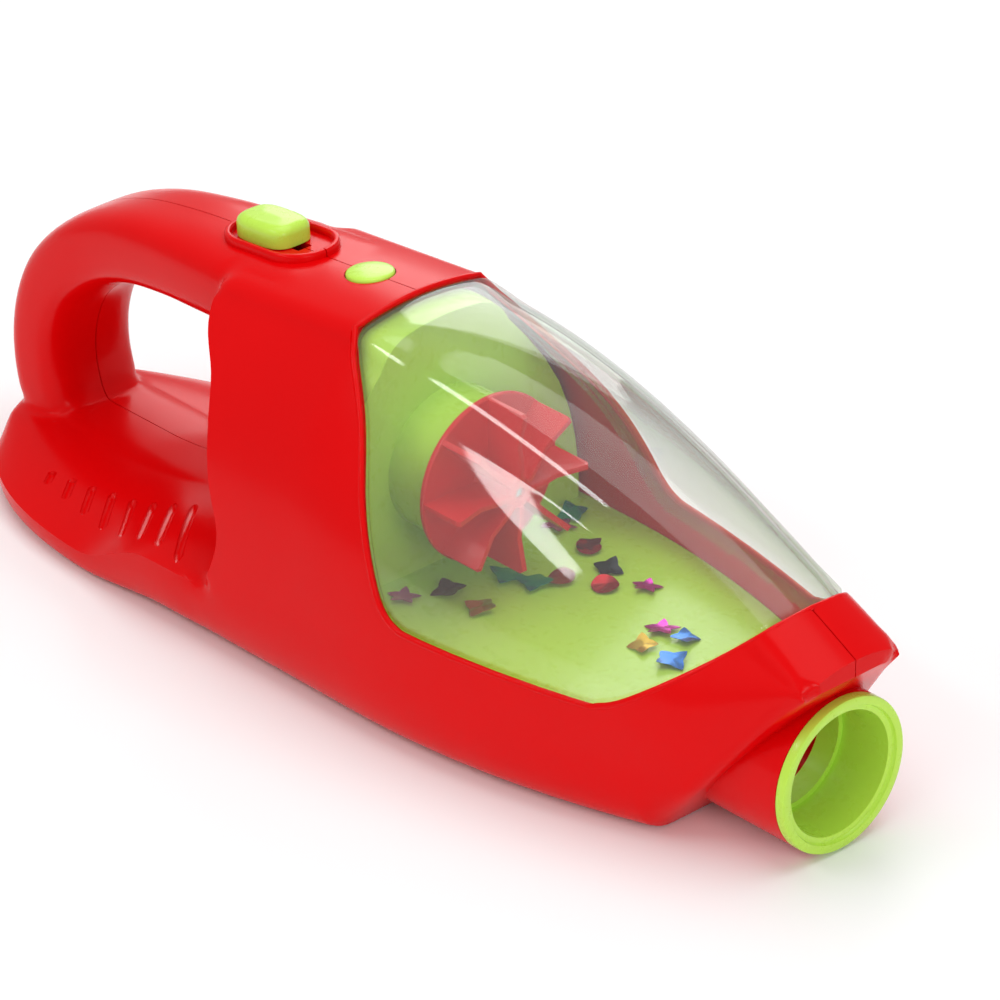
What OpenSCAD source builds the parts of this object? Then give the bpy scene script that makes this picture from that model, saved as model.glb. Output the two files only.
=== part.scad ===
// Toy vacuum cleaner, hand-held unit: two half shells with a loop handle, a clear dome over
// a bulkhead with a spinning fan, a slide switch, a push button and a nozzle ring.
// +X is forward (nozzle), +Z is up, -Y is the side seen in the photograph. Millimetres.

/* [Body] */
// Front end of the brow over the nozzle
nose_x = 139; // [130:1:150]
// Height of the roof at the arch, where the dome begins
roof_h = 103; // [90:1:115]
// Fall of the roof towards the rear, per millimetre
roof_fall = 0.098; // [0:0.002:0.15]
// Height of the brow's front edge
brow_h = 59; // [50:1:66]
// Height of the brow's front face
brow_edge = 5; // [3:0.5:8]
// Half width of the roof at its crease
roof_half_w = 24.5; // [20:0.5:30]
// Half width of the brow
brow_half_w = 17; // [14:0.5:22]
// Largest half width, near the floor
belly_half_w = 54.5; // [45:0.5:60]
// Narrowing of the half width at the front of the flat bottom
belly_taper = 18; // [10:0.5:24]
// Height of the widest line of the side
belly_h = 22; // [16:1:30]
// Bulge of the side wall between roof and belly
side_bulge = 8.2; // [0:0.2:10]
// Rounding of the bottom edge
belly_r = 14; // [8:0.5:18]
// Crown of the roof, middle above crease
roof_crown = 3; // [1:0.5:6]
// Rounding of the roof's crease
crease_r = 4; // [2:0.5:8]
// Rounding of the dome's shoulder
dome_crease_r = 11; // [6:0.5:16]
// Extra swell of the dome
dome_swell = 13; // [0:0.5:24]
// Where the flat bottom ends and the slanted front face begins
chin_x = 96; // [90:1:104]
// Wall of the half shells
wall = 1.8; // [1.4:0.1:2.6]

/* [Window] */
// Rear end of the window, on the roof
arch_x = -27; // [-36:1:-18]
// Lower edge of the window
sill_h = 37.5; // [32:0.5:44]
// Where the lower edge turns up to the nose
sill_end_x = 90; // [84:1:96]
// Front end of the window, on the nose
brow_x = 123; // [118:1:128]
// Wall of the clear dome
dome_wall = 1.6; // [1.2:0.1:2.2]
// Part of the dome that reaches under the shells
dome_tuck = 3; // [2:0.5:5]

/* [Loop handle] */
// Rear end of the tail
loop_x = -186; // [-200:1:-176]
// Half width of the handle bar at the rear
grip_half_w = 16.5; // [12:0.5:20]
// Thickness of the handle bar
grip_t = 22; // [18:0.5:26]
// Height of the tail where it leaves the pod
tail_h = 27; // [22:1:34]
// Lowest height of the tail, ahead of the loop's rear bend
tail_low_h = 17.5; // [14:0.5:22]
// Half width of the tail's flat top
tail_top_half_w = 13.5; // [10:0.5:18]
// Height of the tail's side edge
tail_edge_h = 8; // [5:0.5:12]
// Step from the pod's side in to the tail's side
tail_inset = 1.5; // [0.5:0.5:4]
// Number of vent grooves on each side
vents = 8; // [8:1:10]
// Distance between vent grooves
vent_pitch = 9.6; // [8:0.2:12]
// Width of a vent groove
vent_w = 3; // [2:0.2:4]

/* [Fan and motor] */
// Height of the fan's axis
fan_h = 57; // [50:0.5:62]
// Front face of the bulkhead
bulkhead_x = -16; // [-20:0.5:-10]
// Thickness of the bulkhead
bulkhead_t = 2; // [1.5:0.1:3]
// Outer radius of the motor tube on the bulkhead
tube_r = 21; // [18:0.5:23]
// Length of the motor tube
tube_l = 14.6; // [10:0.2:18]
// Radius of the fan's disc
fan_r = 24.5; // [20:0.5:26]
// Thickness of the fan's disc
fan_disc_t = 1.6; // [1:0.1:2.5]
// Depth of a fan blade
blade_l = 15; // [8:0.5:18]
// Thickness of a fan blade
blade_t = 1.6; // [1:0.1:2.5]
// Number of fan blades
blades = 8; // [6:1:10]
// Radius of the motor can
motor_r = 13.8; // [10:0.1:15]
// Length of the motor can
motor_l = 30; // [24:1:38]
// Radius of the motor shaft
shaft_r = 1.5; // [1:0.1:2]
// Height of the bin's floor
floor_h = 25; // [22:0.5:28]
// Thickness of the bin's floor
floor_t = 1.6; // [1.2:0.1:2.4]

/* [Nozzle] */
// Height of the nozzle's axis
nozzle_h = 23; // [22.6:0.1:26]
// Outer radius of the red stub
stub_r = 22.4; // [20:0.1:22.5]
// Front end of the red stub
stub_x = 133; // [128:1:138]
// Outer radius of the nozzle ring's sleeve
ring_r = 20.3; // [19:0.1:21]
// Bore of the nozzle ring, which takes the tube
nozzle_bore_r = 18; // [16:0.1:19]
// Depth of that bore
nozzle_bore_l = 18; // [12:0.5:20]
// Radius of the passage behind the bore's stop
nozzle_stop_r = 16.5; // [14:0.1:17.5]
// Thickness of the nozzle ring's lip
lip_t = 3; // [2:0.2:4]

/* [Controls] */
// Middle of the slide switch's rim on the roof
switch_x = -82; // [-86:1:-76]
// Length of the raised rim
rim_l = 37; // [32:0.5:42]
// Width of the raised rim
rim_w = 22.5; // [18:0.5:26]
// Height of the raised rim above the roof
rim_h = 2.2; // [1:0.1:4]
// Length of the slide switch's knob
knob_l = 21; // [16:0.5:24]
// Width of the slide switch's knob
knob_w = 14.5; // [10:0.5:17]
// Height of the knob above the roof
knob_h = 7; // [5:0.5:9]
// Travel of the slide switch
switch_travel = 7; // [5:0.5:9]
// Middle of the round button on the roof
button_x = -46; // [-50:1:-42]
// Radius of the round button
button_r = 6.8; // [5:0.1:9]
// Travel of the round button
button_travel = 1.6; // [1:0.1:3]

/* [Batteries] */
// Radius of an AA cell
cell_r = 7.1; // [7:0.05:7.3]
// Length of an AA cell
cell_l = 50; // [49:0.5:51]
// Number of cells, side by side
cells = 3; // [2:1:3]
// Middle of the battery box
battery_x = -22; // [-24:1:-18]
// Length of the battery door
door_l = 58; // [56:0.5:60]
// Width of the battery door
door_w = 58; // [57:0.5:62]

/* [Fasteners] */
// Radius of a screw's shank
screw_r = 1.4; // [1:0.1:2]
// Radius of a screw's head
screw_head_r = 2.8; // [2:0.1:3.5]

/* [Hidden] */
// All sub-parts, and the one that is drawn

// Overrun of cuts, and clearances
over = 1;
gap = 0.3;
run_gap = 0.05;
seat_gap = 0.1;
fine = 48;
thin = 1.5;
big = 4 * belly_half_w;

// Point counts along the half section and along the body
stations = 34;
roof_pts = 4;
crease_pts = 3;
wall_pts = 7;
belly_pts = 5;
tail_steps = 19;
grip_sides = 20;
grip_steps = 27;

// Shares of the shapes' formulas
dome_fall_share = 0.55;
dome_power = 1.9;
corner_share = 0.7;
limit_share = 0.8;
half_share = 0.45;

pod_x0 = -90;
chin_rise = (brow_h - brow_edge) / (nose_x - chin_x);
under_widest = 6;

function mix(a, b, t) = a + (b - a) * t;
function lim(v, a, b) = max(a, min(b, v));
function smooth(t) = let (c = lim(t, 0, 1)) c * c * (3 - 2 * c);
function bez(a, b, c, t) = (1 - t) * (1 - t) * a + 2 * t * (1 - t) * b + t * t * c;

// Roof line: falls to the rear behind the arch, swells over the dome and dives to the brow
function dome_t(x) = (x - arch_x) / (nose_x - arch_x);
function roof_z(x) = x < arch_x ? roof_h + roof_fall * (x - arch_x)
  : let (t = dome_t(x)) mix(roof_h, brow_h, pow(t, dome_power))
    + dome_swell * t * (1 - t) * (1 - t * dome_fall_share);
function roof_w(x) = mix(roof_half_w, brow_half_w, smooth(dome_t(x)));
function side_w(x) = max(roof_w(x) + over, belly_half_w - belly_taper * pow(max(0, x) / chin_x, 2));
function bottom_z(x) = max(0, (x - chin_x) * chin_rise);
function nose_fade(x) = 1 - smooth((x - sill_end_x) / (nose_x - sill_end_x));
function crease(x) = mix(crease_r, dome_crease_r,
  smooth((x - arch_x) / (2 * dome_crease_r)) * nose_fade(x));
function widest_z(x) = min(max(belly_h, bottom_z(x) + under_widest),
  mix(bottom_z(x), roof_z(x) - roof_crown, half_share));

// Half section, from the top seam down to the bottom seam: roof, crease, side wall, belly
function wall_from(c, m, rc) = mix(c, m, lim(rc / norm(m - c), 0, half_share));
function wall_at(d, m, n, bulge, t) = mix(d, m, t) + n * bulge * sin(180 * t);
function out_dir(c, m) = [(c - m)[1], -(c - m)[0]] / norm(c - m);
function section(zt, wc, cr, rc, wm, zm, zb, rb, bulge) =
  let (c = [wc, zt - cr], m = [wm, zm], ka = 1 - lim(rc / wc, 0, limit_share),
       a = [wc * ka, zt - cr * ka * ka], d = wall_from(c, m, rc), n = out_dir(c, m),
       h = min(rb, (zm - zb) * limit_share, wm * half_share), e = [wm - h, zb])
  concat(
    [for (i = [0:roof_pts - 1]) let (y = a[0] * i / roof_pts) [y, zt - cr * pow(y / wc, 2)]],
    [for (i = [0:crease_pts]) bez(a, c, d, i / crease_pts)],
    [for (i = [1:wall_pts]) wall_at(d, m, n, bulge, i / wall_pts)],
    [for (i = [1:belly_pts]) bez(m, [wm, zb], e, i / belly_pts)],
    [[0, zb]]);
function ring3(x, half) = concat(
  [for (p = half) [x, p[0], p[1]]],
  [for (i = [len(half) - 2:-1:1]) [x, -half[i][0], half[i][1]]]);
function pod_half(x, g) = section(roof_z(x) - g, roof_w(x) - g, roof_crown, crease(x),
  side_w(x) - g, widest_z(x), bottom_z(x) + g, belly_r, side_bulge * nose_fade(x));
// Corner of the roof, widest point, and the half width of the pod at a height on the side wall
function roof_corner(x, g) = [roof_w(x) - g, roof_z(x) - g - roof_crown];
function widest(x, g) = [side_w(x) - g, widest_z(x)];
function wall_step(d, m, z, b, t) = lim((d[1] - z + b * sin(180 * t)) / (d[1] - m[1]), 0, 1);
function wall_share(x, z, g) = let (c = roof_corner(x, g), m = widest(x, g),
  d = wall_from(c, m, crease(x)), b = out_dir(c, m)[1] * side_bulge * nose_fade(x),
  t0 = wall_step(d, m, z, b, 0), t1 = wall_step(d, m, z, b, t0), t2 = wall_step(d, m, z, b, t1))
  wall_step(d, m, z, b, t2);
function pod_w(x, z, g) = let (c = roof_corner(x, g), m = widest(x, g), n = out_dir(c, m))
  wall_at(wall_from(c, m, crease(x)), m, n, side_bulge * nose_fade(x), wall_share(x, z, g))[0];

// Closed solid from rings of the same count
module loft(rings) {
  n = len(rings[0]);
  m = len(rings);
  pts = [for (r = rings) for (p = r) p];
  sides = [for (j = [0:m - 2]) for (i = [0:n - 1]) let (k = (i + 1) % n)
    [j * n + i, j * n + k, (j + 1) * n + k, (j + 1) * n + i]];
  caps = [[for (i = [n - 1:-1:0]) i], [for (i = [0:n - 1]) (m - 1) * n + i]];
  polyhedron(pts, concat(sides, caps), convexity = 8);
}

function pod_x(i, g) = mix(pod_x0, nose_x - g, i / stations);
module pod_solid(g) {
  loft([for (i = [0:stations]) ring3(pod_x(i, g), pod_half(pod_x(i, g), g))]);
}
module side_prism(pts, grow) {
  rotate([90, 0, 0])
    linear_extrude(big, center = true)
      offset(delta = grow)
        polygon(pts);
}

// Side view of the pod: its rear end leans forwards to the tail, then sweeps back
pod_over = 17;
pod_pts = [[-82, roof_h + pod_over], [-80, 90], [-66, 74], [-56, 52], [-50, 37], [-56, 20], [-68, 8],
  [-76, -9], [190, -9], [190, roof_h + pod_over]];
module pod(g) {
  intersection() {
    pod_solid(g);
    side_prism(pod_pts, -g);
  }
}

// Tail: the low rear of the body, under the hand hole
tail_x0 = -30;
tail_turn_x = -96;
tail_drop_x = -62;
tail_drop_l = 70;
tail_crown = 0.6;
tail_crease_r = 3;
tail_r = 6;
tail_bulge = 1.6;
tail_power = 2.6;
tail_root_share = 0.5;
tail_side_share = 0.6;
function tail_z(x) = mix(tail_h, tail_low_h, smooth((tail_drop_x - x) / tail_drop_l));
function tail_w(x) = (belly_half_w - tail_inset)
  * pow(1 - pow(lim((tail_turn_x - x) / (tail_turn_x - loop_x), 0, 1), tail_power), tail_root_share);
function tail_top_w(w, g) = min(tail_top_half_w - g * tail_side_share, w * tail_side_share);
function tail_half(x, g) = let (w = max(tail_w(x) - g, 2 * over))
  section(tail_z(x) - g, tail_top_w(w, g), tail_crown, tail_crease_r, w, tail_edge_h, g, tail_r,
    tail_bulge);
module tail(g) {
  loft([for (i = [0:tail_steps])
    let (x = mix(loop_x + g, tail_x0 - g, 1 - cos(90 * i / tail_steps)))
      ring3(x, tail_half(x, g))]);
}
function tail_side_t(x, y) = (y - tail_top_half_w) / (tail_w(x) - tail_top_half_w);
function tail_side_z(x, y) = mix(tail_z(x), tail_edge_h, tail_side_t(x, y)) + tail_bulge * corner_share;

// Handle bar: a rounded bar along the loop's middle line
// Points of that line: place along X, share of the roof's height that it follows, drop below it
grip_shares = [[-58, 1, 14.4], [-76, 1, 15.8], [-96, 1, 17.8], [-116, 1, 20], [-136, 1, 24],
  [-153, 0.9, 21.2], [-167, 0.75, 18.25], [-174, 0.55, 12.65], [-175, 0.35, 8.05], [-170, 0.1, 0.3]];
grip_path = [for (p = grip_shares) [p[0], roof_h * p[1] - p[2]]];
grip_square_share = 0.55;
grip_wide_share = 1.4;
grip_taper_steps = 5;
path_step = 0.05;
function cr4(a, b, c, d, t) = (2 * b + (c - a) * t + (2 * a - 5 * b + 4 * c - d) * t * t
  + (3 * b - a - 3 * c + d) * t * t * t) / 2;
function path_at(u) = let (n = len(grip_path) - 1, i = min(floor(u), n - 1), t = u - i)
  cr4(grip_path[max(0, i - 1)], grip_path[i], grip_path[i + 1], grip_path[min(n, i + 2)], t);
function path_dir(u) = let (d = path_at(u + path_step) - path_at(u - path_step)) d / norm(d);
function sgn_pow(v, p) = sign(v) * pow(abs(v), p);
module grip(g) {
  n = len(grip_path) - 1;
  loft([for (j = [0:grip_steps])
    let (u = mix(2 * path_step, n - 2 * path_step, j / grip_steps), c = path_at(u), d = path_dir(u),
         w = grip_half_w * mix(grip_wide_share, 1, smooth(u / grip_taper_steps)) - g, h = grip_t / 2 - g)
      [for (i = [0:grip_sides - 1])
        let (q = 360 * i / grip_sides, y = w * sgn_pow(cos(q), grip_square_share),
             k = h * sgn_pow(sin(q), grip_square_share))
          [c[0] + d[1] * k, y, c[1] - d[0] * k]]]);
}
module body_solid(g) {
  pod(g);
  tail(g);
  grip(g);
}

// Side view of the window's lower edge, from the arch down, along the sill and up to the nose
turn_l = 12;
turn_rise = 5;
brow_step = 3;
brow_low = 5;
// Rear part: place along X, and share of the way from the sill up to the roof
arch_shares = [[arch_x, 0.939], [-23.5, 0.863], [-17.5, 0.771], [-11, 0.664], [-4.5, 0.534],
  [1, 0.405], [6, 0.282], [10.5, 0.168], [14.5, 0.076], [20, 0.017]];
window_over = 27;
sill_pts = concat([for (p = arch_shares) [p[0], mix(sill_h, roof_h, p[1])]],
  [[30, sill_h], [sill_end_x - turn_l, sill_h], [sill_end_x - turn_l / 3, sill_h + turn_rise / 5],
  [sill_end_x + turn_l / 3, sill_h + turn_rise], [108, 53], [brow_x - brow_step, brow_h + brow_low],
  [brow_x, brow_h + 2 * brow_low]]);
window_pts = concat([[arch_x, roof_h + window_over]], sill_pts, [[brow_x, roof_h + window_over]]);

// Places on the roof, square to it
roof_tilt = atan(roof_fall);
module on_roof(x) {
  translate([x, 0, roof_z(x)])
    rotate([0, -roof_tilt, 0])
      children();
}
rim_t = 2;
rim_sink = 4;
well_z = 0.2;
slot_l = 12;
slot_w = 5;
module racetrack(l, w, h) {
  linear_extrude(h) {
    square([l - w, w], center = true);
    for (s = [-1, 1])
      translate([s * (l - w) / 2, 0])
        circle(w / 2, $fn = fine);
  }
}

// Vent grooves lie along the tail's side
vent_x0 = -77.6;
vent_lean = 10;
vent_in_share = 0.44;
vent_out_share = 0.86;
vent_short_share = 0.1;
vent_facets = 10;
module vent_end(x, y, s) {
  translate([x, s * y, tail_side_z(x, y)])
    sphere(vent_w / 2, $fn = vent_facets);
}
module vent(i, s) {
  x = vent_x0 - i * vent_pitch;
  in_share = vent_in_share + vent_short_share * i / vents;
  out_share = vent_out_share - vent_short_share * i / vents;
  hull() {
    vent_end(x - vent_lean, in_share * tail_w(x), s);
    vent_end(x, out_share * tail_w(x), s);
  }
}

// Screws run along Y, in wells that open on the +Y side
grip_screw_drop = 19;
rear_screw_share = 0.6;
rear_screw_drop = 11.8;
roof_screw_drop = 23;
brow_screw_drop = 6;
screw_pts = [[-104, roof_h - grip_screw_drop], [-170, roof_h * rear_screw_share - rear_screw_drop],
  [-64, 10], [-47, roof_h - roof_screw_drop], [58, 12], [130, brow_h - brow_screw_drop]];
boss_r = 3.4;
well_r = 3.2;
well_wall = 1.4;
head_y = 8;
head_t = 2;
screw_in = 7;
module screw_places() {
  for (p = screw_pts)
    translate([p[0], 0, p[1]])
      rotate([-90, 0, 0])
        children();
}

// Rails under the bin's floor, and the ends that hold the two switches
rail_w = 3;
rail_t = 2.2;
rail_x0 = -12;
rail_x1 = 84;
holder_t = 2;
switch_l = 24;
switch_w = 10;
switch_t = 7;
switch_z = -17;
pad_w = 13;
pad_t = 4;
pad_z = -16;
module holders() {
  for (s = [-1, 1]) {
    on_roof(switch_x)
      translate([s * (switch_l / 2 + seat_gap + holder_t / 2) - holder_t / 2, -switch_w / 2, switch_z])
        cube([holder_t, switch_w, -switch_z - over]);
    on_roof(button_x)
      translate([s * (pad_w / 2 + seat_gap + holder_t / 2) - holder_t / 2, -pad_w / 2, pad_z])
        cube([holder_t, pad_w, -pad_z - over]);
  }
}

module door_shape(grow) {
  translate([battery_x - door_l / 2 - grow, -door_w / 2 - grow])
    square([door_l + 2 * grow, door_w + 2 * grow]);
}

module shell_half(s) {
  intersection() {
    translate([loop_x - big / 2, s > 0 ? 0 : -big, -big])
      cube([3 * big, big, 2 * big]);
    difference() {
      union() {
        difference() {
          body_solid(0);
          body_solid(wall);
        }
        intersection() {
          body_solid(0);
          union() {
            holders();
            difference() {
              translate([rail_x0, -big, floor_h - floor_t - rail_t])
                cube([rail_x1 - rail_x0, 2 * big, rail_t]);
              pod_solid(wall + rail_w);
            }
            screw_places()
              translate([0, 0, s > 0 ? 0 : -big])
                cylinder(r = s > 0 ? well_r + well_wall : boss_r, h = big, $fn = 20);
          }
        }
        on_roof(switch_x)
          translate([0, 0, -rim_sink])
            racetrack(rim_l, rim_w, rim_sink + rim_h);
        translate([chin_x, 0, nozzle_h])
          rotate([0, 90, 0])
            cylinder(r = stub_r, h = stub_x - chin_x, $fn = fine);
      }
      side_prism(window_pts, 0);
      on_roof(switch_x)
        translate([0, 0, well_z])
          racetrack(rim_l - 2 * rim_t, rim_w - 2 * rim_t, rim_sink);
      on_roof(switch_x)
        translate([-slot_l / 2 - switch_travel / 2, -slot_w / 2, -rim_sink - over])
          cube([slot_l + switch_travel, slot_w, 2 * rim_sink]);
      on_roof(button_x)
        translate([0, 0, -rim_sink])
          cylinder(r = button_r + gap, h = 2 * rim_sink, $fn = fine);
      translate([chin_x - nozzle_bore_l, 0, nozzle_h])
        rotate([0, 90, 0])
          cylinder(r = ring_r + seat_gap, h = big, $fn = fine);
      translate([0, 0, -over])
        linear_extrude(over + 2 * wall)
          door_shape(gap);
      screw_places() {
        translate([0, 0, -screw_in])
          cylinder(r = screw_r + run_gap, h = screw_in + head_y + over, $fn = 16);
        translate([0, 0, head_y])
          cylinder(r = well_r, h = big, $fn = 16);
      }
      for (i = [0:vents - 1])
        vent(i, s);
    }
  }
}
module left_shell() {
  color("red")
    shell_half(1);
}
module right_shell() {
  color("red")
    shell_half(-1);
}

// Clear dome: a thin skin on the pod's own form, tucked under the shells
dome_g = wall + seat_gap;
dome_steps = 34;
dome_rows = 5;
dome_drop = 1.5;
dome_least_share = 0.12;
function dome_edge(x) = min(lookup(x - dome_tuck, sill_pts), lookup(x + dome_tuck, sill_pts)) - dome_drop;
function dome_half(x, g, zlow) = let (c = roof_corner(x, g), m = widest(x, g), rc = crease(x),
    ka = 1 - lim(rc / c[0], 0, limit_share), zt = roof_z(x) - g, a = [c[0] * ka, zt - roof_crown * ka * ka],
    d = wall_from(c, m, rc), n = out_dir(c, m), te = max(wall_share(x, zlow, g), dome_least_share))
  concat(
    [for (i = [0:roof_pts - 1]) let (y = a[0] * i / roof_pts) [y, zt - roof_crown * pow(y / c[0], 2)]],
    [for (i = [0:crease_pts]) bez(a, c, d, i / crease_pts)],
    [for (i = [1:dome_rows]) wall_at(d, m, n, side_bulge * nose_fade(x), te * i / dome_rows)]);
function dome_row(x, g) = let (h = dome_half(x, g, dome_edge(x)), k = len(h))
  concat([for (i = [k - 1:-1:1]) [x, -h[i][0], h[i][1]]], [for (p = h) [x, p[0], p[1]]]);
dome_x0 = arch_x - dome_tuck;
dome_x1 = brow_x + dome_tuck;
function dome_skin(g) = [for (j = [0:dome_steps])
  for (p = dome_row(mix(dome_x0, dome_x1, j / dome_steps), g)) p];
module clear_dome() {
  n = len(dome_row(0, dome_g));
  pts = concat(dome_skin(dome_g), dome_skin(dome_g + dome_wall));
  in = n * (dome_steps + 1);
  last = n * dome_steps;
  skin = [for (j = [0:dome_steps - 1]) for (i = [0:n - 2]) let (p = j * n + i)
    each [[p, p + n, p + 1], [p + 1, p + n, p + n + 1]]];
  inner = [for (f = skin) [f[0] + in, f[2] + in, f[1] + in]];
  ends = [for (i = [0:n - 2]) each [[i, i + 1, in + i], [i + 1, in + i + 1, in + i],
    [last + i, in + last + i, last + i + 1], [last + i + 1, in + last + i, in + last + i + 1]]];
  rims = [for (j = [0:dome_steps - 1]) let (p = j * n, q = j * n + n - 1)
    each [[p, in + p, p + n], [p + n, in + p, in + p + n],
      [q, q + n, in + q], [q + n, in + q + n, in + q]]];
  color([0.85, 0.9, 0.9, 0.3])
    polyhedron(pts, concat(skin, inner, ends, rims), convexity = 6);
}

// Bulkhead: a plate across the pod with the motor tube
bulkhead_g = dome_g + dome_wall + gap;
tube_wall = 1.6;
post_r = 3;
post_y = 18;
fan_gap = 1.4;
motor_gap = 6;
cap_l = 5;
fan_x = bulkhead_x + tube_l + fan_gap;
motor_x1 = fan_x - motor_gap;
motor_x0 = motor_x1 - motor_l;
retainer_x = motor_x0 - cap_l;
post_l = bulkhead_x - bulkhead_t - retainer_x;
module along_x(x, z) {
  translate([x, 0, z])
    rotate([0, 90, 0])
      children();
}
module bulkhead() {
  half = [for (p = pod_half(bulkhead_x - bulkhead_t, bulkhead_g)) if (p[1] > floor_h) p];
  lowest = half[len(half) - 1];
  pts = concat(half, [[lowest[0], floor_h]], [[-lowest[0], floor_h]],
    [for (i = [len(half) - 1:-1:1]) [-half[i][0], half[i][1]]]);
  color([0.7, 0.88, 0.35])
    difference() {
      union() {
        translate([bulkhead_x - bulkhead_t, 0, 0])
          rotate([90, 0, 90])
            linear_extrude(bulkhead_t)
              polygon(pts);
        along_x(bulkhead_x - seat_gap, fan_h)
          cylinder(r = tube_r, h = tube_l + seat_gap, $fn = fine);
        for (s = [-1, 1])
          translate([0, s * post_y, 0])
            along_x(retainer_x, fan_h)
              cylinder(r = post_r, h = post_l + over, $fn = fine);
      }
      along_x(bulkhead_x + tube_wall, fan_h)
        cylinder(r = tube_r - tube_wall, h = tube_l + over, $fn = fine);
      along_x(bulkhead_x - bulkhead_t - over, fan_h)
        cylinder(r = motor_r + run_gap, h = 2 * tube_wall + bulkhead_t + over, $fn = fine);
      for (s = [-1, 1])
        translate([0, s * post_y, 0])
          along_x(retainer_x - over, fan_h)
            cylinder(r = screw_r, h = screw_in + over, $fn = fine);
    }
}

// Bin floor: a plate between the shells, from the bulkhead to the nose
floor_x0 = bulkhead_x - bulkhead_t;
floor_x1 = 92;
floor_steps = 24;
module bin_floor() {
  xs = [for (i = [0:floor_steps]) mix(floor_x0, floor_x1, i / floor_steps)];
  side = [for (x = xs) [x, pod_w(x, floor_h, wall) - gap]];
  color([0.7, 0.88, 0.35])
    translate([0, 0, floor_h - floor_t])
      linear_extrude(floor_t)
        polygon(concat(side, [for (i = [floor_steps:-1:0]) [side[i][0], -side[i][1]]]));
}

// Nozzle ring: a sleeve in the red stub, with a lip and a stepped bore
ring_l = 22;
module nozzle_ring() {
  color([0.7, 0.88, 0.35])
    difference() {
      along_x(stub_x, nozzle_h) {
        translate([0, 0, -ring_l])
          cylinder(r = ring_r, h = ring_l + over, $fn = fine);
        cylinder(r = stub_r, h = lip_t, $fn = fine);
      }
      along_x(stub_x + lip_t - nozzle_bore_l, nozzle_h)
        cylinder(r = nozzle_bore_r, h = nozzle_bore_l + over, $fn = fine);
      along_x(stub_x - ring_l - over, nozzle_h)
        cylinder(r = nozzle_stop_r, h = 2 * ring_l, $fn = fine);
    }
}

// Fan: a disc with straight blades, notched at their free ends, round a hub
hub_r = 5;
hub_l = 12;
notch_d = 4;
notch_out = 6;
blade_in = 4;
module fan_impeller() {
  color("red")
    along_x(fan_x, fan_h)
      difference() {
        union() {
          cylinder(r = fan_r, h = fan_disc_t, $fn = fine);
          cylinder(r = hub_r, h = fan_disc_t + hub_l, $fn = fine);
          for (i = [0:blades - 1])
            rotate([0, 0, 360 * i / blades])
              translate([0, blade_t / 2, 0])
                rotate([90, 0, 0])
                  linear_extrude(blade_t)
                    polygon([[blade_in, 0], [fan_r - over, 0], [fan_r - over, blade_l - notch_d],
                      [fan_r - notch_out / 2, blade_l], [fan_r - notch_out, blade_l - notch_d],
                      [fan_r - 2 * notch_out, blade_l], [blade_in, hub_l]]);
        }
        translate([0, 0, -over])
          cylinder(r = shaft_r, h = fan_disc_t + hub_l, $fn = fine);
      }
}
shaft_x0 = motor_x0 - cap_l / 2;
module motor_shaft() {
  color("silver")
    along_x(shaft_x0, fan_h)
      cylinder(r = shaft_r, h = fan_x + fan_disc_t + hub_l - over - shaft_x0, $fn = fine);
}
can_boss_r = 4;
can_boss_l = 2;
module motor_can() {
  color("silver")
    difference() {
      union() {
        along_x(motor_x0, fan_h)
          cylinder(r = motor_r, h = motor_l, $fn = fine);
        along_x(motor_x1 - over, fan_h)
          cylinder(r = can_boss_r, h = can_boss_l + over, $fn = fine);
      }
      along_x(motor_x0 - over, fan_h)
        cylinder(r = shaft_r + run_gap, h = motor_l + can_boss_l + 2 * over, $fn = fine);
    }
}
module motor_end_cap() {
  color("dimgray")
    difference() {
      along_x(motor_x0 - cap_l, fan_h)
        cylinder(r = motor_r, h = cap_l, $fn = fine);
      along_x(motor_x0 - cap_l / 2 - seat_gap, fan_h)
        cylinder(r = shaft_r + run_gap, h = cap_l, $fn = fine);
    }
}

// Retainer: a bridge behind the motor, on the bulkhead's two posts
retainer_t = 2;
retainer_w = 12;
retainer_hole_r = 4;
module motor_retainer() {
  color("dimgray")
    difference() {
      translate([motor_x0 - cap_l - retainer_t, -post_y - post_r - over, fan_h - retainer_w / 2])
        cube([retainer_t, 2 * (post_y + post_r + over), retainer_w]);
      along_x(motor_x0 - cap_l - 2 * retainer_t, fan_h)
        cylinder(r = retainer_hole_r, h = 4 * retainer_t, $fn = fine);
      for (s = [-1, 1])
        translate([0, s * post_y, 0])
          along_x(motor_x0 - cap_l - 2 * retainer_t, fan_h)
            cylinder(r = screw_r + run_gap, h = 4 * retainer_t, $fn = fine);
    }
}
module retainer_screws() {
  color("silver")
    for (s = [-1, 1])
      translate([0, s * post_y, 0])
        along_x(motor_x0 - cap_l - retainer_t, fan_h) {
          translate([0, 0, -head_t])
            cylinder(r = screw_head_r, h = head_t, $fn = fine);
          cylinder(r = screw_r, h = retainer_t + screw_in - over, $fn = fine);
        }
}

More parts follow.
